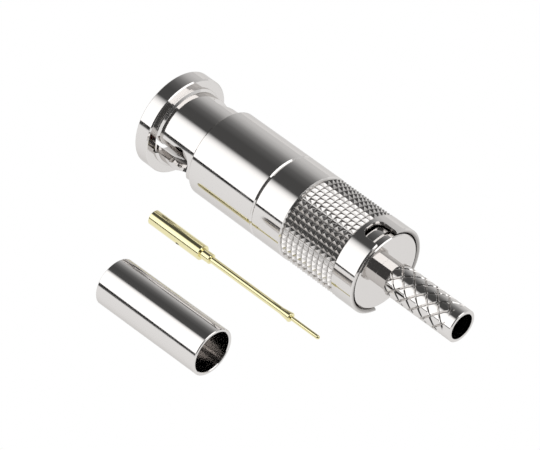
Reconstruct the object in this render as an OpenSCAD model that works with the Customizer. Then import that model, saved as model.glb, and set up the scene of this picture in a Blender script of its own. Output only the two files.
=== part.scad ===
// Miniature bayonet plug for coaxial cable, crimp type.
// X runs along the plug from its mating face (X = 0) to the cable end, Z is up.
// The loose centre contact and crimp ferrule lie beside the plug, on the plane
// that the flange stands on.

/* [Coupling nut] */
// Radial space round the contact sleeve for the mating barrel
mating_space = 0.5; // [0.45:0.05:0.7]
// Wall of the neck that carries the bayonet slots
neck_wall = 0.55; // [0.45:0.05:0.7]
// Height of the front flange above the neck
flange_h = 0.9; // [0.7:0.05:1.2]
// Length of the front flange
flange_len = 1.3; // [1:0.1:1.8]
// Height of the small collar above the neck
collar_h = 0.2; // [0.1:0.05:0.3]
// Length of the small collar behind the flange
collar_len = 0.25; // [0.1:0.05:0.4]
// Length of the neck, from the flange to the shoulder
neck_len = 3.9; // [3.8:0.1:5]
// Wall of the grip barrel round the spring chamber
body_wall = 0.5; // [0.4:0.05:0.7]
// Length of the front barrel, from the shoulder to the seam
front_len = 6.6; // [6.4:0.1:9]
// Thickness of the web between the neck's bore and the chamber
web_t = 0.55; // [0.4:0.05:0.8]
// Chamfer on the shoulder between neck and barrel
shoulder_edge = 0.15; // [0.05:0.01:0.2]

/* [Bayonet slots] */
// Width of the straight entry of each slot
entry_w = 1.6; // [1.2:0.05:1.8]
// Diameter of the round pocket where the entry turns
pocket_d = 2; // [1.6:0.1:2.1]
// Diameter of the round rest at the end of each slot
rest_d = 1.2; // [1:0.05:1.3]
// Distance from the shoulder to the pocket's near edge
pocket_gap = 0.5; // [0.4:0.05:0.8]
// Distance that the rest lies ahead of the pocket's centre
rest_drop = 0.6; // [0.3:0.05:0.8]
// Angle from the slot's entry to its rest
slot_turn = 57; // [45:1:62]
// Angle of the first slot's entry round the axis
slot_angle = 174; // [0:1:359]

/* [Grip sleeve] */
// Length of plain barrel between the seam and the knurl
plain_len = 2.95; // [2.5:0.05:5]
// Number of rings of knurl points
knurl_rings = 10; // [6:1:14]
// Distance between two rings of points
knurl_pitch = 0.51; // [0.45:0.01:0.6]
// Number of points round each ring
knurl_points = 48; // [36:2:54]
// Depth of the knurl
knurl_depth = 0.2; // [0.1:0.01:0.22]
// Length of the plain ring behind the knurl
rear_ring_len = 2.1; // [2:0.05:3]
// Wall of the plain ring behind the knurl
rear_wall = 0.33; // [0.25:0.01:0.35]
// Width of the two spanner notches in the rear rim
notch_w = 1.9; // [1.5:0.05:2.4]
// Depth of the two spanner notches in the rear rim
notch_depth = 1.65; // [1.4:0.05:1.8]
// Chamfer on the inner edge of the rear rim, and on the rear body's head
bore_edge = 0.08; // [0.03:0.01:0.1]
// Corner radius at the bottom of each notch
notch_r = 0.6; // [0.3:0.05:0.7]
// Length of the spigot that is pressed into the coupling nut
spigot_len = 1.15; // [0.9:0.05:1.5]
// Length of the guide land behind the seam
land_len = 1.4; // [1:0.1:2]
// Depth of the seam's two edge chamfers
seam_v = 0.12; // [0.04:0.01:0.15]

/* [Inner body] */
// Outside diameter of the slotted contact sleeve, from which the rings are sized outwards
sleeve_d = 4; // [3.9:0.05:4.1]
// Wall of the contact sleeve's fingers
sleeve_wall = 0.35; // [0.3:0.05:0.4]
// Inward step at the bottom of the contact sleeve's open bore
sleeve_step = 0.2; // [0.2:0.05:0.4]
// Wall of the plug body's tube round the insulators
tube_wall = 0.95; // [0.8:0.05:1.1]
// Thickness of the plug body's front shoulder
shoulder_t = 0.8; // [0.6:0.05:1.2]
// Length of the tube's tail that is pressed into the rear body
tail_len = 3; // [2.5:0.1:3.5]
// Length of the contact sleeve's press seat in the plug body
sleeve_seat = 2.2; // [1.8:0.1:2.6]
// Width of the contact sleeve's slots
finger_gap = 0.3; // [0.2:0.05:0.4]
// Length of the contact sleeve's slots
finger_len = 4.6; // [4:0.1:5]
// Height of the rounded lip at the contact sleeve's mouth
lip_h = 0.06; // [0.03:0.01:0.1]
// Thickness of the soft gasket at the bottom of the socket
gasket_t = 0.45; // [0.3:0.05:0.6]
// Length of the front insulator
front_insulator_len = 5.9; // [5:0.1:6.3]
// Length of the rear insulator
rear_insulator_len = 4.4; // [3.5:0.1:4.6]
// Depth of the contact sleeve's open bore, to the front insulator
dielectric_depth = 5.6; // [5:0.1:5.7]

/* [Spring set] */
// Radial space for the spring between the tube and the grip barrel
spring_space = 0.6; // [0.5:0.05:0.7]
// Wire diameter of the coupling spring
wire_d = 0.3; // [0.2:0.02:0.34]
// Number of turns of the coupling spring
spring_turns = 4.5; // [3:0.5:6]
// Thickness of the washer at each end of the spring
washer_t = 0.3; // [0.2:0.05:0.4]

/* [Rear body and crimp stem] */
// Length of the rear body's head
head_len = 1.55; // [1.3:0.05:1.8]
// Distance from the rear face to the fine groove round the head
head_groove_x = 0.45; // [0.4:0.05:0.6]
// Width of the fine groove round the head
head_groove_w = 0.25; // [0.15:0.05:0.3]
// Depth of the fine groove round the head
head_groove_depth = 0.12; // [0.05:0.01:0.15]
// Step from the rear body's head down to its shank
shank_step = 0.25; // [0.15:0.05:0.4]
// Gap between the sleeve's guide land and the rear body
land_gap = 1; // [0.9:0.1:1.5]
// Wall of the smooth neck behind the rear face
stem_neck_wall = 0.09; // [0.08:0.01:0.15]
// Length of the smooth neck behind the rear face
stem_neck_len = 1.05; // [0.8:0.05:1.4]
// Wall of the knurled crimp stem
stem_wall = 0.27; // [0.24:0.01:0.35]
// Length of the knurled crimp stem, plain end included
stem_len = 6.3; // [5:0.1:8]
// Length of the stem's plain end
stem_plain = 0.55; // [0.3:0.05:1]
// Bore of the crimp stem, for the cable's dielectric
stem_bore_d = 2.06; // [1.9:0.02:2.1]
// Number of grooves of each hand in the diamond knurl
diamond_starts = 7; // [5:1:9]
// Lead of each groove of the diamond knurl
diamond_lead = 7.9; // [6:0.1:10]
// Depth of the diamond knurl's grooves
diamond_depth = 0.12; // [0.05:0.01:0.14]
// Half angle of the diamond knurl's grooves
diamond_half_angle = 50; // [30:1:55]

/* [Centre contact] */
// Diameter of the contact's crimp barrel
barrel_d = 1.2; // [1.1:0.05:1.3]
// Length of the contact's crimp barrel
barrel_len = 5.2; // [4.5:0.1:6]
// Bore of the crimp barrel, for the cable's wire
wire_bore_d = 0.7; // [0.5:0.05:0.8]
// Depth of the crimp barrel's bore
wire_bore_depth = 4.2; // [3.8:0.1:4.4]
// Diameter of the barrel's inspection hole
inspection_d = 0.45; // [0.3:0.05:0.5]
// Distance from the barrel's end to its inspection hole
inspection_x = 3.1; // [2.6:0.1:3.4]
// Angle of the inspection hole round the contact
inspection_angle = 205; // [0:5:355]
// Diameter of the step ahead of the barrel
step_d = 0.8; // [0.7:0.05:0.9]
// Length of the step ahead of the barrel
step_len = 0.9; // [0.6:0.1:1.2]
// Diameter of the contact's shank
pin_shank_d = 0.52; // [0.4:0.02:0.6]
// Length of the contact's shank
pin_shank_len = 7.1; // [6:0.1:8]
// Largest diameter of the contact's tapered collar
barb_d = 0.75; // [0.7:0.01:0.8]
// Length of the contact's tapered collar
barb_len = 1; // [0.8:0.1:1.3]
// Diameter of the contact's tip
tip_d = 0.32; // [0.28:0.02:0.38]
// Length of the contact's tip
tip_len = 2.8; // [2.2:0.1:3.4]

/* [Crimp ferrule] */
// Outside diameter of the crimp ferrule
ferrule_d = 3.8; // [3.6:0.05:4.2]
// Bore of the crimp ferrule
ferrule_bore_d = 3.3; // [3.1:0.05:3.4]
// Length of the crimp ferrule
ferrule_len = 9.8; // [8:0.1:12]

/* [Places of the loose pieces] */
// Distance from the mating face to the contact's barrel end
pin_x = 4.05; // [0:0.05:8]
// Distance from the plug's axis to the contact's axis
pin_y = 5.87; // [5.2:0.01:8]
// Angle between the contact's axis and the plug's axis
pin_yaw = 0.7; // [0:0.1:2]
// Distance from the mating face to the ferrule's near end
ferrule_x = 7.9; // [0:0.1:14]
// Distance from the plug's axis to the ferrule's axis
ferrule_y = 13.1; // [11:0.1:16]
// Angle between the ferrule's axis and the plug's axis
ferrule_yaw = 1.7; // [0:0.1:5]

/* [Clearances] */
// Radial running clearance of the turning pieces
run_gap = 0.05; // [0.02:0.01:0.08]
// Radial clearance round the rear body's head
head_gap = 0.1; // [0.03:0.01:0.1]
// Axial gap between faces that meet under the spring
face_gap = 0.03; // [0.02:0.01:0.05]
// Chamfer on turned edges
edge = 0.1; // [0.05:0.01:0.15]

/* [Hidden] */
smooth = 96;    // sides of a large round
drill = 32;     // sides of a drill that a hull blends
over = 0.5;     // how far a cutter runs past what it cuts
groove_cuts = 20;     // straight lengths that make up one helical groove
groove_phase = 7;     // angle between the first grooves of the two hands
groove_shift = 0.04;  // how far the second hand starts ahead of the first

// radii, from the contact sleeve outwards
sleeve_r = sleeve_d / 2;
sleeve_bore_r = sleeve_r - sleeve_wall;
tube_bore_r = sleeve_bore_r - sleeve_step;
jack_r = sleeve_r + mating_space;
neck_r = jack_r + neck_wall;
collar_r = neck_r + collar_h;
flange_r = neck_r + flange_h;
tube_r = tube_bore_r + tube_wall;
chamber_r = tube_r + spring_space;
body_r = chamber_r + body_wall;
stem_bore_r = stem_bore_d / 2;
stem_neck_r = stem_bore_r + stem_neck_wall;
stem_r = stem_bore_r + stem_wall;
barrel_r = barrel_d / 2;
pin_shank_r = pin_shank_d / 2;
barb_r = barb_d / 2;
tip_r = tip_d / 2;
ferrule_r = ferrule_d / 2;
ferrule_bore_r = ferrule_bore_d / 2;
shoulder_r = chamber_r - run_gap;
guide_r = tube_r + run_gap;
ring_bore_r = body_r - rear_wall;
head_r = ring_bore_r - head_gap;
shank_r = head_r - shank_step;

// stations along the axis, from the mating face
shoulder_x = flange_len + neck_len;
seam_x = shoulder_x + front_len;
web_x = shoulder_x + web_t;
knurl_x = seam_x + plain_len;
knurl_len = knurl_rings * knurl_pitch;
ring_x = knurl_x + knurl_len;
rim_x = ring_x + rear_ring_len;
body_face_x = web_x + face_gap;
spring_seat_x = body_face_x + shoulder_t;
spigot_x = seam_x - spigot_len;
thrust_x = spigot_x - face_gap - washer_t;
spring_x0 = spring_seat_x + washer_t + wire_d / 2;
spring_x1 = thrust_x - face_gap - wire_d / 2;
land_x = seam_x + land_len;
rear_front_x = land_x + land_gap;
tail_x = rear_front_x + tail_len;
sleeve_end_x = body_face_x + sleeve_seat;
stem_x = rim_x + stem_neck_len;
end_x = stem_x + stem_len;
spring_r = (tube_r + chamber_r) / 2;
rear_insulator_x = tail_x - rear_insulator_len - face_gap;
gasket_r = jack_r - 1.5 * run_gap;
table_z = -flange_r;

// draws along the plug's axis: local Z is X, local X is Y and local Y is Z
module along_axis(x = 0) {
  translate([x, 0, 0]) rotate([90, 0, 90]) children();
}

// a turned solid from [radius, station] points
module turned(points, sides = smooth) {
  rotate_extrude($fn = sides) polygon(points);
}

// a straight round ring between two stations
module ring(x0, x1, outer, inner, break_edge = 0) {
  turned([
    [inner, x0], [outer - break_edge, x0], [outer, x0 + break_edge],
    [outer, x1 - break_edge], [outer - break_edge, x1], [inner, x1]
  ]);
}

// a drill that stands on the axis at a station and an angle
module radial_drill(x, angle, r, reach, sides = drill) {
  translate([0, 0, x]) rotate([0, 0, angle]) rotate([0, 90, 0])
    translate([0, 0, jack_r - over]) cylinder(r = r, h = reach - jack_r + over, $fn = sides);
}

// one bayonet slot: straight entry, round pocket, tapered way to the round rest
module bayonet_slot(angle) {
  pocket_x = shoulder_x - pocket_gap - pocket_d / 2;
  rest_x = pocket_x - rest_drop;
  reach = neck_r + over;
  rotate([0, 0, angle]) {
    translate([jack_r - over, -entry_w / 2, -over])
      cube([neck_r - jack_r + over, entry_w, flange_len + 2 * over]);
    translate([jack_r - over, -entry_w / 2, flange_len])
      cube([neck_r - jack_r + 2 * over, entry_w, pocket_x - flange_len]);
    hull() {
      radial_drill(pocket_x, 0, pocket_d / 2, reach);
      radial_drill(pocket_x - rest_drop / 2, slot_turn / 2, (pocket_d + rest_d) / 4, reach);
    }
    hull() {
      radial_drill(pocket_x - rest_drop / 2, slot_turn / 2, (pocket_d + rest_d) / 4, reach);
      radial_drill(rest_x, slot_turn, rest_d / 2, reach);
    }
  }
}

module coupling_nut() {
  color("silver") along_axis() difference() {
    turned([
      [jack_r + edge, 0], [flange_r - edge, 0], [flange_r, edge],
      [flange_r, flange_len - edge], [flange_r - edge, flange_len],
      [collar_r, flange_len], [collar_r, flange_len + collar_len / 2],
      [neck_r, flange_len + collar_len], [neck_r, shoulder_x],
      [body_r - shoulder_edge, shoulder_x], [body_r, shoulder_x + shoulder_edge],
      [body_r, seam_x - seam_v], [body_r - seam_v, seam_x],
      [chamber_r, seam_x], [chamber_r, web_x], [jack_r, web_x], [jack_r, edge]
    ]);
    bayonet_slot(slot_angle);
    bayonet_slot(slot_angle + 180);
  }
}

// rows of four-sided points between two stations, with a solid core
module square_knurl(x, r, depth) {
  root = r - depth;
  intersection() {
    translate([0, 0, x]) linear_extrude(height = knurl_len)
      polygon([for (i = [0:2 * knurl_points - 1])
        let (a = i * 180 / knurl_points, q = i % 2 == 0 ? root : r)
        [q * cos(a), q * sin(a)]]);
    turned(concat([[0, x]],
      [for (i = [0:2 * knurl_rings]) [i % 2 == 0 ? root : r, x + i * knurl_pitch / 2]],
      [[0, x + knurl_len]]));
  }
}

// a notch with round corners, cut into the rear rim from outside
module rim_notch(angle) {
  w = notch_w / 2;
  rotate([0, 0, angle]) translate([ring_bore_r - over, 0, rim_x])
    rotate([0, 90, 0]) linear_extrude(height = rear_wall + 2 * over)
      union() {
        translate([-over, -w]) square([notch_depth - notch_r + over, notch_w]);
        translate([0, notch_r - w]) square([notch_depth, notch_w - 2 * notch_r]);
        for (side = [-1, 1]) translate([notch_depth - notch_r, side * (w - notch_r)])
          circle(r = notch_r, $fn = drill);
      }
}

module grip_sleeve() {
  root = body_r - knurl_depth;
  color("silver") along_axis() difference() {
    union() {
      turned([
        [0, spigot_x], [chamber_r - edge / 2, spigot_x], [chamber_r, spigot_x + edge / 2],
        [chamber_r, seam_x], [body_r - seam_v, seam_x], [body_r, seam_x + seam_v],
        [body_r, knurl_x - knurl_pitch / 4], [root, knurl_x], [root, ring_x],
        [body_r, ring_x + knurl_pitch / 4], [body_r, rim_x - edge], [body_r - edge, rim_x],
        [0, rim_x]
      ]);
      square_knurl(knurl_x, body_r, knurl_depth);
    }
    turned([
      [0, spigot_x - over], [guide_r, spigot_x - over], [guide_r, land_x],
      [ring_bore_r, land_x], [ring_bore_r, rim_x - bore_edge],
      [ring_bore_r + bore_edge + over, rim_x + over], [0, rim_x + over]
    ]);
    rim_notch(90);
    rim_notch(270);
  }
}

module front_washer() {
  color("gainsboro") along_axis()
    ring(spring_seat_x, spring_seat_x + washer_t, shoulder_r, guide_r);
}

// round wire wound in a helix, a closed tube of short rings
module coupling_spring() {
  steps = 16;
  sides = 8;
  rings = round(spring_turns * steps);
  points = [for (i = [0:rings], j = [0:sides - 1])
    let (a = 360 * i / steps, b = 360 * j / sides,
      q = spring_r + wire_d / 2 * cos(b),
      x = spring_x0 + (spring_x1 - spring_x0) * i / rings + wire_d / 2 * sin(b))
    [q * cos(a), q * sin(a), x]];
  walls = [for (i = [0:rings - 1], j = [0:sides - 1])
    let (k = i * sides, n = (j + 1) % sides)
    [k + j, k + n, k + sides + n, k + sides + j]];
  caps = [[for (j = [sides - 1:-1:0]) j], [for (j = [0:sides - 1]) rings * sides + j]];
  color("darkgray") along_axis() polyhedron(points = points, faces = concat(walls, caps));
}

module thrust_washer() {
  color("gainsboro") along_axis() ring(thrust_x, thrust_x + washer_t, shoulder_r, guide_r);
}

module plug_body() {
  color("silver") along_axis() turned([
    [sleeve_r, body_face_x], [shoulder_r - edge, body_face_x],
    [shoulder_r, body_face_x + edge], [shoulder_r, spring_seat_x],
    [tube_r, spring_seat_x], [tube_r, tail_x - edge], [tube_r - edge, tail_x],
    [tube_bore_r, tail_x], [tube_bore_r, sleeve_end_x], [sleeve_r, sleeve_end_x]
  ]);
}

module mating_gasket() {
  color("dimgray") along_axis()
    ring(body_face_x - gasket_t, body_face_x, gasket_r, sleeve_r, edge);
}

module contact_sleeve() {
  lip_len = 2 * edge + 4 * lip_h;
  color("silver") along_axis() difference() {
    turned([
      [sleeve_bore_r, 0], [sleeve_r + lip_h - edge, 0], [sleeve_r + lip_h, edge],
      [sleeve_r + lip_h, lip_len], [sleeve_r, lip_len + 3 * lip_h],
      [sleeve_r, sleeve_end_x], [tube_bore_r, sleeve_end_x],
      [tube_bore_r, dielectric_depth], [sleeve_bore_r, dielectric_depth]
    ]);
    for (a = [0, 90]) rotate([0, 0, a + 45])
      translate([-sleeve_d, -finger_gap / 2, -over])
        cube([2 * sleeve_d, finger_gap, finger_len + over]);
  }
}

module front_insulator() {
  hole = barb_r + run_gap;
  end = dielectric_depth + front_insulator_len;
  color("white") along_axis()
    turned([
      [hole, dielectric_depth], [tube_bore_r - edge, dielectric_depth],
      [tube_bore_r, dielectric_depth + edge], [tube_bore_r, end],
      [hole + 2 * edge, end], [hole, end - 2 * edge]
    ]);
}

module rear_insulator() {
  hole = barrel_r + run_gap;
  end = rear_insulator_x + rear_insulator_len;
  color("white") along_axis()
    turned([
      [hole, rear_insulator_x], [tube_bore_r, rear_insulator_x], [tube_bore_r, end],
      [hole + 3 * edge, end], [hole, end - 3 * edge]
    ]);
}

// the grooves of one hand of the diamond knurl
module helical_grooves(x, length, hand, start, cuts) {
  half_w = 2 * diamond_depth * tan(diamond_half_angle);
  for (i = [0:diamond_starts - 1])
    translate([0, 0, x]) rotate([0, 0, start + i * 360 / diamond_starts])
      linear_extrude(height = length, twist = hand * 360 * length / diamond_lead, slices = cuts)
        polygon([
          [stem_r - diamond_depth, 0], [stem_r + diamond_depth, -half_w],
          [stem_r + diamond_depth, half_w]
        ]);
}

module rear_body() {
  groove_x = rim_x - head_groove_x;
  cone = tube_bore_r - stem_bore_r;
  knurled = stem_len - stem_plain;
  color("silver") along_axis() difference() {
    turned([
      [tube_r, rear_front_x], [shank_r - edge, rear_front_x],
      [shank_r, rear_front_x + edge], [shank_r, rim_x - head_len],
      [head_r - edge, rim_x - head_len], [head_r, rim_x - head_len + edge],
      [head_r, groove_x - head_groove_w],
      [head_r - head_groove_depth, groove_x - head_groove_w],
      [head_r - head_groove_depth, groove_x], [head_r, groove_x],
      [head_r, rim_x - bore_edge], [head_r - bore_edge, rim_x],
      [stem_neck_r, rim_x], [stem_neck_r, stem_x - edge], [stem_r, stem_x],
      [stem_r, end_x - edge / 2], [stem_r - edge / 2, end_x],
      [stem_bore_r, end_x], [stem_bore_r, tail_x + head_len + cone],
      [tube_bore_r, tail_x + head_len], [tube_bore_r, tail_x], [tube_r, tail_x]
    ]);
    helical_grooves(stem_x - edge, knurled, 1, 0, groove_cuts);
    helical_grooves(stem_x - edge - groove_shift, knurled + groove_shift + edge / 10, -1,
      groove_phase, groove_cuts + 3);
  }
}

module contact_pin() {
  step_x = barrel_len;
  shank_x = step_x + step_len;
  barb_x = shank_x + pin_shank_len;
  tip_x = barb_x + barb_len;
  length = tip_x + tip_len;
  bevel = edge / 2;
  color("gold") translate([pin_x, -pin_y, table_z + barrel_r]) rotate([0, 0, pin_yaw])
    along_axis() difference() {
    turned([
      [0, 0], [barrel_r - bevel, 0], [barrel_r, bevel], [barrel_r, step_x - bevel],
      [barrel_r - bevel, step_x], [step_d / 2, step_x], [step_d / 2, shank_x - bevel],
      [step_d / 2 - bevel, shank_x], [pin_shank_r, shank_x], [pin_shank_r, barb_x],
      [barb_r, tip_x - bevel], [barb_r - bevel, tip_x], [tip_r, tip_x],
      [tip_r, length - tip_r], [0.7 * tip_r, length - 0.3 * tip_r], [0.35 * tip_r, length],
      [0, length]
    ]);
    translate([0, 0, -over]) cylinder(d = wire_bore_d, h = wire_bore_depth + over, $fn = smooth);
    translate([0, 0, inspection_x]) rotate([0, 0, inspection_angle]) rotate([0, 90, 0])
      cylinder(d = inspection_d, h = barrel_d, $fn = drill);
  }
}

module crimp_ferrule() {
  color("silver") translate([ferrule_x, -ferrule_y, table_z + ferrule_r])
    rotate([0, 0, ferrule_yaw]) along_axis() turned([
      [ferrule_bore_r + edge / 2, 0], [ferrule_r - edge / 2, 0], [ferrule_r, edge / 2],
      [ferrule_r, ferrule_len - edge / 2], [ferrule_r - edge / 2, ferrule_len],
      [ferrule_bore_r + edge / 2, ferrule_len], [ferrule_bore_r, ferrule_len - edge / 2],
      [ferrule_bore_r, edge / 2]
    ]);
}

coupling_nut();
grip_sleeve();
front_washer();
coupling_spring();
thrust_washer();
plug_body();
mating_gasket();
contact_sleeve();
front_insulator();
rear_insulator();
rear_body();
contact_pin();
crimp_ferrule();
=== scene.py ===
# %% [markdown]
# A miniature bayonet plug for coaxial cable, with its loose centre contact and
# crimp ferrule. The solids are made elsewhere and loaded here as a fixed frame:
# X runs along the plug from the mating face to the cable end, Z is up, and all
# lengths are in metres. This lesson gives the plug its studio, its camera and
# its finishes. It starts by loading the frame and measuring it.

import math

import bpy
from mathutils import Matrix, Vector


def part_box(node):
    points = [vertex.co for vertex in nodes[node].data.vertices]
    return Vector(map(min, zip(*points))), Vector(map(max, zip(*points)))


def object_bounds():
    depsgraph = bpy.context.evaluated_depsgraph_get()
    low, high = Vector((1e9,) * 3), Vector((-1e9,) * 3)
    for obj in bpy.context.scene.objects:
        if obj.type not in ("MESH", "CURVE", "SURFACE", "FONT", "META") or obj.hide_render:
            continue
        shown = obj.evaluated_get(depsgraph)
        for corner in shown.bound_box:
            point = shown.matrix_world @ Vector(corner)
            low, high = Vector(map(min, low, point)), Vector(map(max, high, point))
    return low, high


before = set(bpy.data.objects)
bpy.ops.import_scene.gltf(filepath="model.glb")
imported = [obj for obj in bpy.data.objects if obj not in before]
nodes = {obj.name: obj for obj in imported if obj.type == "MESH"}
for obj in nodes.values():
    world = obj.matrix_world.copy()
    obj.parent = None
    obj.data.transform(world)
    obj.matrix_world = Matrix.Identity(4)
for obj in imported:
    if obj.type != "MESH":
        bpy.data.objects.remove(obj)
MM = 0.001
cad_low, cad_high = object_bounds()
table_z = cad_low.z
print("whole part, mm:", [round(v / MM, 2) for v in cad_high - cad_low])

# %% [markdown]
# The finishes need to know where each turned piece's axis lies and how thick it
# is, because lathe marks run round that axis. It can all be read from the nodes'
# boxes and points, so nothing has to be typed again from the drawing.

# %% Read the driving places from the nodes
def middle(name):
    low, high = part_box(name)
    return (low + high) / 2


def across(name):
    low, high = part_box(name)
    return high.z - low.z


END_ZONE = 0.5 * MM


def heading(name):
    """The angle of a lying piece's long axis, from its points nearest each end."""
    node = nodes[name]
    points = [node.matrix_world @ v.co for v in node.data.vertices]
    low, high = min(p.x for p in points), max(p.x for p in points)
    ends = []
    for end in (low, high):
        near = [p for p in points if abs(p.x - end) < END_ZONE]
        ends.append(sum(near, Vector()) / len(near))
    return math.atan2(ends[1].y - ends[0].y, ends[1].x - ends[0].x)


plug_axis = Vector((0, 0, 0))
contact_middle = middle("contact_pin")
ferrule_middle = middle("crimp_ferrule")
body_r = across("grip_sleeve") / 2
ferrule_yaw, contact_yaw = heading("crimp_ferrule"), heading("contact_pin")
print("grip barrel radius, mm:", round(body_r / MM, 2))
print("headings, degrees:", [round(math.degrees(a), 2) for a in (ferrule_yaw, contact_yaw)])

# %% [markdown]
# A plug of this size is looked at with a long lens from well back, half above
# and half from the cable end, so that its rings stay nearly round and its sides
# nearly parallel. The camera is placed by two angles and a distance from the
# point it looks at, which lies a little ahead of the plug's middle.

# %% Place the camera
view_azimuth = math.radians(46.02)
view_elevation = math.radians(45.14)
view_distance = 235.3 * MM
looks_at = Vector((13.01, -2.73, 0.11)) * MM
LENS = 220

to_camera = Vector((
    math.sin(view_azimuth) * math.cos(view_elevation),
    -math.cos(view_azimuth) * math.cos(view_elevation),
    math.sin(view_elevation),
))
camera_data = bpy.data.cameras.new("bench_camera")
camera_data.lens = LENS
camera_data.clip_start = 1 * MM
camera = bpy.data.objects.new("bench_camera", camera_data)
camera.location = looks_at + to_camera * view_distance
camera.rotation_euler = (-to_camera).to_track_quat("-Z", "Y").to_euler()
bpy.context.scene.collection.objects.link(camera)
bpy.context.scene.camera = camera
bpy.context.scene.view_settings.view_transform = "Standard"
print("camera at, mm:", [round(v / MM, 1) for v in camera.location])

# %% [markdown]
# Materials are node trees, so two small helpers keep the rest short. One adds a
# node with its settings and inputs, where an input may be a value or another
# node's socket. The other does a sum with a Math node.

# %% Helpers for node trees
def add(tree, kind, inputs=None, **settings):
    made = tree.nodes.new(kind)
    for name, value in settings.items():
        setattr(made, name, value)
    for name, value in (inputs or {}).items():
        if isinstance(value, bpy.types.NodeSocket):
            tree.links.new(value, made.inputs[name])
        else:
            made.inputs[name].default_value = value
    return made


def math_node(tree, operation, first, second=0.0, third=0.0, clamp=False):
    made = add(tree, "ShaderNodeMath", {0: first, 1: second, 2: third},
               operation=operation, use_clamp=clamp)
    return made.outputs[0]


def ramp(tree, factor, stops):
    """A smooth colour ramp over (position, grey or colour) stops."""
    made = add(tree, "ShaderNodeValToRGB", {"Fac": factor})
    elements = made.color_ramp.elements
    while len(elements) < len(stops):
        elements.new(0.5)
    for element, (position, value) in zip(elements, stops):
        element.position = position
        colour = value if isinstance(value, tuple) else (value, value, value)
        element.color = (*colour, 1)
    return made.outputs["Color"]


def new_material(name):
    material = bpy.data.materials.new(name)
    material.use_nodes = True
    material.node_tree.nodes.clear()
    return material, material.node_tree


def finish_material(tree, shader):
    add(tree, "ShaderNodeOutputMaterial", {"Surface": shader})


# %% [markdown]
# Polished metal shows its room more than itself, so the room comes first. The
# table is plain and white. It gives out white of its own to camera, mirror and
# glass rays, and is an ordinary matt white to every other ray. Lighting it until
# it turned white would work too, but that much light would wash out the metal.

# %% The white table
MIRROR_SHARE = 0.95     # how bright the table is in a mirror, against 1 to the eye
TABLE_GREY = 0.8
TABLE_HALF = 500 * MM


def white_to_view(tree, other_shader):
    """White for rays that see or mirror the place, another shader for the rest."""
    path = add(tree, "ShaderNodeLightPath")
    mirrored = math_node(tree, "MULTIPLY", path.outputs["Is Glossy Ray"], MIRROR_SHARE)
    seen = math_node(tree, "MAXIMUM", path.outputs["Is Camera Ray"], mirrored)
    seen = math_node(tree, "MAXIMUM", seen, path.outputs["Is Transmission Ray"])
    white = add(tree, "ShaderNodeEmission", {"Color": (1, 1, 1, 1), "Strength": 1.0})
    return add(tree, "ShaderNodeMixShader",
               {0: seen, 1: other_shader, 2: white.outputs[0]}).outputs[0]


def sheet_from_corners(name, corners, material):
    mesh = bpy.data.meshes.new(name)
    mesh.from_pydata([tuple(c) for c in corners], [], [(0, 1, 2, 3)])
    made = bpy.data.objects.new(name, mesh)
    made.data.materials.append(material)
    bpy.context.scene.collection.objects.link(made)
    return made


table_paint, tree = new_material("table_white")
matt = add(tree, "ShaderNodeBsdfDiffuse", {
    "Color": (TABLE_GREY, TABLE_GREY, TABLE_GREY, 1)})
finish_material(tree, white_to_view(tree, matt.outputs[0]))
table = sheet_from_corners("table", [
    Vector((x * TABLE_HALF, y * TABLE_HALF, table_z))
    for x, y in ((-1, -1), (1, -1), (1, 1), (-1, 1))
], table_paint)

world = bpy.data.worlds.new("studio_air")
bpy.context.scene.world = world
world.use_nodes = True
world.node_tree.nodes.clear()
air = add(world.node_tree, "ShaderNodeBackground",
          {"Color": (1, 1, 1, 1), "Strength": 1.0})
add(world.node_tree, "ShaderNodeOutputWorld", {"Surface": air.outputs[0]})
print("table at, mm:", round(table_z / MM, 2))

# %% [markdown]
# Over the plug hangs a tent of cloth. It is pale where it meets the table behind
# the plug and falls to near black overhead, which gives polished metal its dark
# band. It could be a row of grey cards, but a half barrel along the plug has no
# joints to show. Its shade depends only on the angle round the plug's axis, so
# one ramp over that angle does the whole of it. Only mirror rays see it.

# %% The tent overhead
TENT_RADIUS = 150 * MM
TENT_HALF_LENGTH = 260 * MM
TENT_STEPS = 48

tent_cloth, tree = new_material("tent_cloth")
place = add(tree, "ShaderNodeTexCoord")
split = add(tree, "ShaderNodeSeparateXYZ", {0: place.outputs["Object"]})
turn = math_node(tree, "ARCTAN2", split.outputs["Z"], split.outputs["Y"])
turn = math_node(tree, "DIVIDE", turn, math.pi)
shade = ramp(tree, turn, [
    (0.0, 0.80), (0.07, 0.74), (0.16, 0.55), (0.205, 0.40), (0.25, 0.27),
    (0.335, 0.133), (0.43, 0.08), (1.0, 0.08),
])
cloth = add(tree, "ShaderNodeEmission", {"Color": shade, "Strength": 1.0})
finish_material(tree, cloth.outputs[0])


def curved_cloth(name, x_ends, radius, start, stop, steps, material, end_walls=False):
    """Cloth bent round the X axis at table height, from one angle to another."""
    points = []
    for x in x_ends:
        for step in range(steps + 1):
            angle = start + (stop - start) * step / steps
            points.append((x, radius * math.cos(angle), table_z + radius * math.sin(angle)))
    row = steps + 1
    faces = [(i, i + 1, row + i + 1, row + i) for i in range(steps)]
    if end_walls:
        faces += [tuple(range(row)), tuple(range(2 * row - 1, row - 1, -1))]
    mesh = bpy.data.meshes.new(name)
    mesh.from_pydata(points, [], faces)
    cloth_piece = bpy.data.objects.new(name, mesh)
    cloth_piece.data.materials.append(material)
    bpy.context.scene.collection.objects.link(cloth_piece)
    return cloth_piece


tent = curved_cloth("tent", (-TENT_HALF_LENGTH, TENT_HALF_LENGTH), TENT_RADIUS,
                    0, math.pi, TENT_STEPS, tent_cloth, end_walls=True)


def for_mirrors_only(*cards):
    for card in cards:
        card.visible_camera = False
        card.visible_diffuse = False
        card.visible_transmission = False
        card.visible_volume_scatter = False
        card.visible_shadow = False


for_mirrors_only(tent)
print("tent radius, mm:", TENT_RADIUS / MM)

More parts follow.
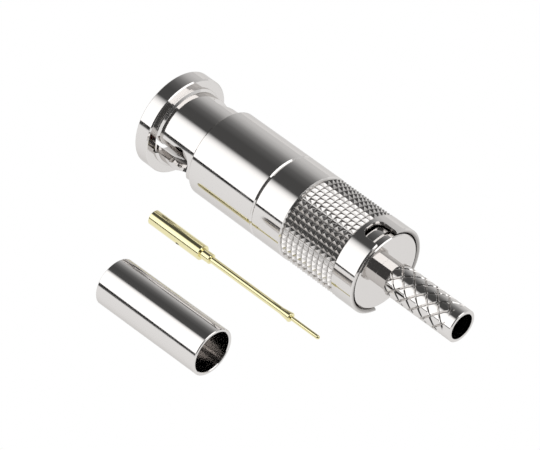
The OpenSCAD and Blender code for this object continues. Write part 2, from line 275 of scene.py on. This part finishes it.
# %% [markdown]
# The main light is a softbox that stands close beside the plug. Its lower frame
# shows in the metal as a thin black line, and its cloth as a clean white band
# whose upper side fades, because the cloth is dimmer towards its top. Both are
# flat sheets that only mirrors see. A plain area lamp behind them, which mirrors
# don't see, lights the pieces that aren't polished.

# %% The softbox beside the plug
SOFTBOX_NEAR_Y, SOFTBOX_TOP_Y = -34 * MM, -27.5 * MM
SOFTBOX_TOP_Z = 110 * MM
SOFTBOX_X = (-120 * MM, 14 * MM)
FRAME_LOW, FRAME_HIGH = 1.2 * MM, 3.6 * MM
FRAME_SLOPE = -0.13     # the lower frame drops a little towards the cable end
SOFTBOX_GLOW = 1.6
FRAME_BLACK = 0.02
LAMP_PLACE = Vector((-50, -90, 60)) * MM
LAMP_SIZE = (120 * MM, 100 * MM)
LAMP_WATTS = 0.05

softbox_cloth, tree = new_material("softbox_cloth")
place = add(tree, "ShaderNodeTexCoord")
split = add(tree, "ShaderNodeSeparateXYZ", {0: place.outputs["Object"]})
height = math_node(tree, "DIVIDE", split.outputs["Z"], SOFTBOX_TOP_Z)
glow = ramp(tree, height, [
    (0.0, 1.0), (0.10, 1.0), (0.45, 0.88), (0.53, 0.78), (0.63, 0.61), (0.76, 0.36),
    (0.90, 0.12), (1.0, 0.06),
])
lit = add(tree, "ShaderNodeEmission", {"Color": glow, "Strength": SOFTBOX_GLOW})
finish_material(tree, lit.outputs[0])

black_frame, tree = new_material("softbox_frame")
finish_material(tree, add(tree, "ShaderNodeEmission", {
    "Color": (FRAME_BLACK, FRAME_BLACK, FRAME_BLACK, 1), "Strength": 1.0}).outputs[0])


def softbox_strip(name, low, high, material):
    def at(x, z):
        share = z / SOFTBOX_TOP_Z
        y = SOFTBOX_NEAR_Y + (SOFTBOX_TOP_Y - SOFTBOX_NEAR_Y) * share
        slope = FRAME_SLOPE * x * (1 - share)
        return Vector((x, y, z + slope))
    return sheet_from_corners(name, [
        at(SOFTBOX_X[0], low), at(SOFTBOX_X[1], low),
        at(SOFTBOX_X[1], high), at(SOFTBOX_X[0], high)], material)


softbox = softbox_strip("softbox", FRAME_HIGH, SOFTBOX_TOP_Z, softbox_cloth)
frame_bar = softbox_strip("softbox_frame", FRAME_LOW, FRAME_HIGH, black_frame)
for_mirrors_only(softbox, frame_bar)

lamp_data = bpy.data.lights.new("softbox_lamp", "AREA")
lamp_data.shape = "RECTANGLE"
lamp_data.size, lamp_data.size_y = LAMP_SIZE
lamp_data.energy = LAMP_WATTS
lamp = bpy.data.objects.new("softbox_lamp", lamp_data)
lamp.location = LAMP_PLACE
lamp.rotation_euler = (looks_at - lamp.location).to_track_quat("-Z", "Y").to_euler()
lamp.visible_glossy = False
bpy.context.scene.collection.objects.link(lamp)
print("softbox height, mm:", SOFTBOX_TOP_Z / MM)

# %% [markdown]
# A second, curved softbox hangs behind the cable end. Barrels don't show it, as
# their sides send the eye the other way, but every small facet and chamfer that
# faces the cable end does, and the knurl gets its bright points from it.

# %% The softbox behind the cable end
REAR_X = (45 * MM, 240 * MM)
REAR_RADIUS = 140 * MM
REAR_FROM, REAR_TO = math.radians(30), math.radians(98)
REAR_STEPS = 12
REAR_GLOW = 1.8
rear_cloth, tree = new_material("rear_softbox_cloth")
finish_material(tree, add(tree, "ShaderNodeEmission", {
    "Color": (1, 1, 1, 1), "Strength": REAR_GLOW}).outputs[0])
rear_softbox = curved_cloth("rear_softbox", REAR_X, REAR_RADIUS, REAR_FROM, REAR_TO,
                            REAR_STEPS, rear_cloth)
for_mirrors_only(rear_softbox)
print("rear softbox from x, mm:", REAR_X[0] / MM)

# %% [markdown]
# Every metal piece here was turned on a lathe, so its marks run round its own
# axis. Distance along the axis plus distance from it is one number that changes
# across barrels, faces and chamfers alike. The first shared effect works it out,
# with the radius and the angle, for an axis at any place and heading.

# %% Shared effect: coordinates of a turned piece
def new_group(name, inputs, outputs):
    """A node group with named sockets: (name, type, start value) in, (name, type) out."""
    group = bpy.data.node_groups.new(name, "ShaderNodeTree")
    for label, kind, start in inputs:
        socket = group.interface.new_socket(label, in_out="INPUT", socket_type=kind)
        socket.default_value = start
    for label, kind in outputs:
        group.interface.new_socket(label, in_out="OUTPUT", socket_type=kind)
    return group, add(group, "NodeGroupInput").outputs, add(group, "NodeGroupOutput")


def give(group, out, **results):
    for label, socket in results.items():
        group.links.new(socket, out.inputs[label.replace("_", " ")])


def use(tree, group, **inputs):
    """Places a group in a material; socket names take _ for a space."""
    made = add(tree, "ShaderNodeGroup", node_tree=group)
    for label, value in inputs.items():
        socket = made.inputs[label.replace("_", " ")]
        if isinstance(value, bpy.types.NodeSocket):
            tree.links.new(value, socket)
        else:
            socket.default_value = value
    return made.outputs


FLOAT, VECTOR = "NodeSocketFloat", "NodeSocketVector"

lathe_place, given, out = new_group(
    "lathe_place",
    [("Axis Point", VECTOR, (0, 0, 0)), ("Heading", FLOAT, 0.0)],
    [("Along", FLOAT), ("Radius", FLOAT), ("Turn", FLOAT), ("Mark", FLOAT),
     ("Place", VECTOR)])
place = add(lathe_place, "ShaderNodeTexCoord").outputs["Object"]
moved = add(lathe_place, "ShaderNodeVectorMath", {0: place, 1: given["Axis Point"]},
            operation="SUBTRACT").outputs[0]
headed = math_node(lathe_place, "MULTIPLY", given["Heading"], -1)
turned = add(lathe_place, "ShaderNodeVectorRotate",
             {"Vector": moved, "Angle": headed}, rotation_type="Z_AXIS").outputs[0]
split = add(lathe_place, "ShaderNodeSeparateXYZ", {0: turned})
radius = math_node(lathe_place, "SQRT", math_node(
    lathe_place, "ADD",
    math_node(lathe_place, "MULTIPLY", split.outputs["Y"], split.outputs["Y"]),
    math_node(lathe_place, "MULTIPLY", split.outputs["Z"], split.outputs["Z"])))
angle = math_node(lathe_place, "ARCTAN2", split.outputs["Z"], split.outputs["Y"])
give(lathe_place, out, Along=split.outputs["X"], Radius=radius, Turn=angle,
     Mark=math_node(lathe_place, "ADD", split.outputs["X"], radius), Place=turned)
print("group:", lathe_place.name)

# %% [markdown]
# Lathe marks are fine rings of uneven depth. A one-dimensional noise over the
# mark coordinate draws them, and a second, slower one makes them come and go.

# %% Shared effect: lathe marks
lathe_marks, given, out = new_group(
    "lathe_marks",
    [("Mark", FLOAT, 0.0), ("Rings per mm", FLOAT, 30.0), ("Turn", FLOAT, 0.0)],
    [("Height", FLOAT), ("Streak", FLOAT)])
ring_number = math_node(lathe_marks, "MULTIPLY", given["Mark"], 1 / MM)
ring_number = math_node(lathe_marks, "MULTIPLY", ring_number, given["Rings per mm"])
fine = add(lathe_marks, "ShaderNodeTexNoise",
           {"W": ring_number, "Scale": 1.0, "Detail": 2.0}, noise_dimensions="1D")
slow_number = math_node(lathe_marks, "MULTIPLY", ring_number, 0.07)
slow_number = math_node(lathe_marks, "MULTIPLY_ADD", given["Turn"], 0.05, slow_number)
slow = add(lathe_marks, "ShaderNodeTexNoise",
           {"W": slow_number, "Scale": 1.0, "Detail": 3.0}, noise_dimensions="1D")
give(lathe_marks, out, Height=fine.outputs[0],
     Streak=math_node(lathe_marks, "MULTIPLY", fine.outputs[0], slow.outputs[0]))
print("group:", lathe_marks.name)

# %% [markdown]
# Plated pieces that have been handled carry a thin uneven film, soft patches a
# millimetre or two across with a few finer specks. It dulls the polish a little
# without changing the colour much.

# %% Shared effect: film from handling
handling_film, given, out = new_group(
    "handling_film",
    [("Place", VECTOR, (0, 0, 0)), ("Patch", FLOAT, 1.6 * MM)],
    [("Film", FLOAT), ("Specks", FLOAT)])
scale = math_node(handling_film, "DIVIDE", 1.0, given["Patch"])
patches = add(handling_film, "ShaderNodeTexNoise",
              {"Vector": given["Place"], "Scale": scale, "Detail": 4.0,
               "Roughness": 0.55})
film = ramp(handling_film, patches.outputs[0], [(0.42, 0.0), (0.68, 1.0)])
speck_scale = math_node(handling_film, "MULTIPLY", scale, 9.0)
cells = add(handling_film, "ShaderNodeTexVoronoi",
            {"Vector": given["Place"], "Scale": speck_scale})
specks = ramp(handling_film, cells.outputs["Distance"], [(0.05, 1.0), (0.11, 0.0)])
give(handling_film, out, Film=film, Specks=specks)
print("group:", handling_film.name)

# %% [markdown]
# No turned edge is perfectly sharp. A bevelled normal rounds each one by a few
# hundredths of a millimetre, so that it catches a thin highlight, and the angle
# between that normal and the true one marks where plating has worn.

# %% Shared effect: softened and worn edges
worn_edges, given, out = new_group(
    "worn_edges",
    [("Round", FLOAT, 0.03 * MM), ("Place", VECTOR, (0, 0, 0))],
    [("Normal", VECTOR), ("Wear", FLOAT)])
rounded = add(worn_edges, "ShaderNodeBevel", {"Radius": given["Round"]}, samples=6)
true_normal = add(worn_edges, "ShaderNodeNewGeometry").outputs["Normal"]
same = add(worn_edges, "ShaderNodeVectorMath",
           {0: rounded.outputs[0], 1: true_normal}, operation="DOT_PRODUCT")
turned_away = math_node(worn_edges, "SUBTRACT", 1.0, same.outputs["Value"], clamp=True)
breakup = add(worn_edges, "ShaderNodeTexNoise",
              {"Vector": given["Place"], "Scale": 2200.0, "Detail": 3.0})
wear = math_node(worn_edges, "MULTIPLY", turned_away, breakup.outputs[0])
wear = math_node(worn_edges, "MULTIPLY", wear, 5.0, clamp=True)
give(worn_edges, out, Normal=rounded.outputs[0], Wear=wear)
print("group:", worn_edges.name)

# %% [markdown]
# Bright nickel plate is a slightly warm grey mirror. Polished barrels, the
# knurled grip and the drawn ferrule share one recipe and differ in how rough
# they are, how deep their marks run and how much painted shade, mixed with a
# little grime, darkens their knurl valleys. A computed mirror turns white where
# it is seen edge-on. Plate that has been handled stays greyer there, so the tint
# for grazing light is held below white.

# %% Nickel plate
NICKEL = (0.72, 0.70, 0.685)
WORN_NICKEL = (0.60, 0.58, 0.56)
NICKEL_GRAZING = (0.76, 0.75, 0.74, 1)
# The near-black colour painted into the knurl valleys as shade, with a little grime.
VALLEY_SHADE_AND_GRIME = (0.10, 0.09, 0.08, 1)
VALLEY_SHADE_SHARE = 0.55
MARK_DEPTH = 0.0006 * MM


def nickel_plate(name, axis, heading=0.0, roughness=0.05, marks=0.15,
                 rings_per_mm=30.0, groove_radius=None, groove_depth=None):
    material, tree = new_material(name)
    at = use(tree, lathe_place, Axis_Point=tuple(axis), Heading=heading)
    rings = use(tree, lathe_marks, Mark=at["Mark"], Rings_per_mm=rings_per_mm,
                Turn=at["Turn"])
    film = use(tree, handling_film, Place=at["Place"])
    edges = use(tree, worn_edges, Place=at["Place"])

    colour = add(tree, "ShaderNodeMix", {
        0: edges["Wear"], 6: (*NICKEL, 1), 7: (*WORN_NICKEL, 1)},
        data_type="RGBA").outputs[2]
    dull = math_node(tree, "MULTIPLY_ADD", film["Film"], 0.04, roughness)
    dull = math_node(tree, "MULTIPLY_ADD", rings["Streak"], 0.05, dull)
    dull = math_node(tree, "MULTIPLY_ADD", edges["Wear"], 0.10, dull)
    # Painted shade with a little grime: knurl valleys darken towards near black, and grow
    # duller, the deeper they lie below the tips.
    if groove_radius:
        depth = math_node(tree, "SUBTRACT", groove_radius, at["Radius"])
        valley_shade_and_grime = math_node(tree, "DIVIDE", depth, groove_depth, clamp=True)
        valley_shade_and_grime = math_node(tree, "POWER", valley_shade_and_grime, 1.5)
        colour = add(tree, "ShaderNodeMix", {
            0: math_node(tree, "MULTIPLY", valley_shade_and_grime, VALLEY_SHADE_SHARE), 6: colour,
            7: VALLEY_SHADE_AND_GRIME}, data_type="RGBA").outputs[2]
        dull = math_node(tree, "MULTIPLY_ADD", valley_shade_and_grime, 0.2, dull)
    bump = add(tree, "ShaderNodeBump", {
        "Height": rings["Height"], "Strength": marks, "Distance": MARK_DEPTH,
        "Normal": edges["Normal"]})
    metal = add(tree, "ShaderNodeBsdfPrincipled", {
        "Base Color": colour, "Metallic": 1.0, "Roughness": dull,
        "Specular Tint": NICKEL_GRAZING, "Normal": bump.outputs[0]})
    finish_material(tree, metal.outputs[0])
    return material


KNURL_DEPTH = 0.2 * MM
KNURL_TIPS_KEPT = 0.03 * MM
polished_nickel = nickel_plate("polished_nickel", plug_axis)
# The grip's knurl valleys get painted shade from their depth below the tips.
grip_nickel = nickel_plate("grip_nickel", plug_axis,
                           groove_radius=body_r - KNURL_TIPS_KEPT,
                           groove_depth=KNURL_DEPTH)
stem_nickel = nickel_plate("stem_nickel", plug_axis)
ferrule_nickel = nickel_plate("ferrule_nickel", ferrule_middle, heading=ferrule_yaw,
                              roughness=0.07, rings_per_mm=18.0)
print("nickel finishes:", [finish.name for finish in (
    polished_nickel, grip_nickel, stem_nickel, ferrule_nickel)])

# %% [markdown]
# The contact is plated with a thin pale gold. Thin plate shows a little more of
# the brass under it on edges, and keeps the same lathe marks.

# %% Gold plate
GOLD = (0.83, 0.77, 0.46)
BRASS_SHOWING = (0.70, 0.56, 0.28)
gold_plate, tree = new_material("gold_plate_pale")
at = use(tree, lathe_place, Axis_Point=tuple(contact_middle), Heading=contact_yaw)
rings = use(tree, lathe_marks, Mark=at["Mark"], Rings_per_mm=35.0, Turn=at["Turn"])
film = use(tree, handling_film, Place=at["Place"], Patch=0.7 * MM)
edges = use(tree, worn_edges, Place=at["Place"], Round=0.02 * MM)
colour = add(tree, "ShaderNodeMix", {
    0: edges["Wear"], 6: (*GOLD, 1), 7: (*BRASS_SHOWING, 1)},
    data_type="RGBA").outputs[2]
dull = math_node(tree, "MULTIPLY_ADD", film["Film"], 0.05, 0.10)
bump = add(tree, "ShaderNodeBump", {
    "Height": rings["Height"], "Strength": 0.2, "Distance": 0.0008 * MM,
    "Normal": edges["Normal"]})
metal = add(tree, "ShaderNodeBsdfPrincipled", {
    "Base Color": colour, "Metallic": 1.0, "Roughness": dull,
    "Normal": bump.outputs[0]})
finish_material(tree, metal.outputs[0])
print("gold:", GOLD)

# %% [markdown]
# The spring and its washers are darker, duller steel. A fine noise, even in all
# directions, stands for the marks that drawing leaves on the wire.

# %% Spring steel
STEEL, STEEL_UNDER_FILM = (0.42, 0.41, 0.40, 1), (0.33, 0.31, 0.29, 1)
spring_steel, tree = new_material("blued_spring_steel")
at = use(tree, lathe_place, Axis_Point=(0, 0, 0))
film = use(tree, handling_film, Place=at["Place"], Patch=0.9 * MM)
drawn = add(tree, "ShaderNodeTexNoise", {
    "Vector": at["Place"], "Scale": 3500.0, "Detail": 3.0})
colour = add(tree, "ShaderNodeMix", {
    0: film["Film"], 6: STEEL, 7: STEEL_UNDER_FILM},
    data_type="RGBA").outputs[2]
dull = math_node(tree, "MULTIPLY_ADD", drawn.outputs[0], 0.15, 0.18)
bump = add(tree, "ShaderNodeBump", {
    "Height": drawn.outputs[0], "Strength": 0.2, "Distance": 0.002 * MM})
metal = add(tree, "ShaderNodeBsdfPrincipled", {
    "Base Color": colour, "Metallic": 1.0, "Roughness": dull,
    "Normal": bump.outputs[0]})
finish_material(tree, metal.outputs[0])
print("steel:", STEEL[:3])

# %% [markdown]
# The gasket is red-brown silicone rubber, matt, with a fine moulded grain and a
# little pale dust. The insulators are white fluoroplastic: waxy, faintly see-
# through, with soft turning rings.

# %% Rubber and fluoroplastic
RUBBER, RUBBER_DUSTED = (0.36, 0.07, 0.045, 1), (0.46, 0.16, 0.12, 1)
seal_rubber, tree = new_material("silicone_seal")
at = use(tree, lathe_place, Axis_Point=(0, 0, 0))
film = use(tree, handling_film, Place=at["Place"], Patch=0.5 * MM)
grain = add(tree, "ShaderNodeTexNoise", {
    "Vector": at["Place"], "Scale": 9000.0, "Detail": 3.0})
colour = add(tree, "ShaderNodeMix", {
    0: math_node(tree, "MULTIPLY", film["Film"], 0.5),
    6: RUBBER, 7: RUBBER_DUSTED}, data_type="RGBA").outputs[2]
dull = math_node(tree, "MULTIPLY_ADD", grain.outputs[0], 0.2, 0.5)
bump = add(tree, "ShaderNodeBump", {
    "Height": grain.outputs[0], "Strength": 0.4, "Distance": 0.004 * MM})
rubber = add(tree, "ShaderNodeBsdfPrincipled", {
    "Base Color": colour, "Roughness": dull, "Normal": bump.outputs[0]})
finish_material(tree, rubber.outputs[0])

PLASTIC, PLASTIC_HANDLED = (0.80, 0.79, 0.76, 1), (0.74, 0.72, 0.68, 1)
insulator_white, tree = new_material("fluoroplastic_white")
at = use(tree, lathe_place, Axis_Point=(0, 0, 0))
rings = use(tree, lathe_marks, Mark=at["Mark"], Rings_per_mm=14.0, Turn=at["Turn"])
film = use(tree, handling_film, Place=at["Place"], Patch=0.8 * MM)
colour = add(tree, "ShaderNodeMix", {
    0: film["Film"], 6: PLASTIC, 7: PLASTIC_HANDLED},
    data_type="RGBA").outputs[2]
dull = math_node(tree, "MULTIPLY_ADD", rings["Streak"], 0.2, 0.32)
bump = add(tree, "ShaderNodeBump", {
    "Height": rings["Height"], "Strength": 0.3, "Distance": 0.003 * MM})
plastic = add(tree, "ShaderNodeBsdfPrincipled", {
    "Base Color": colour, "Roughness": dull, "Subsurface Weight": 0.15,
    "Subsurface Scale": 0.4 * MM, "Normal": bump.outputs[0]})
finish_material(tree, plastic.outputs[0])
print("rubber and plastic:", seal_rubber.name, insulator_white.name)

# %% [markdown]
# Each node keeps its shape and takes the finish that its real piece has.

# %% Give each node its finish
finishes = {
    "coupling_nut": polished_nickel,
    "grip_sleeve": grip_nickel,
    "rear_body": stem_nickel,
    "plug_body": polished_nickel,
    "contact_sleeve": polished_nickel,
    "crimp_ferrule": ferrule_nickel,
    "contact_pin": gold_plate,
    "coupling_spring": spring_steel,
    "front_washer": spring_steel,
    "thrust_washer": spring_steel,
    "mating_gasket": seal_rubber,
    "front_insulator": insulator_white,
    "rear_insulator": insulator_white,
}
for name, material in finishes.items():
    for slot in nodes[name].material_slots:
        slot.material = material
print("nodes finished:", len(finishes), "of", len(nodes))
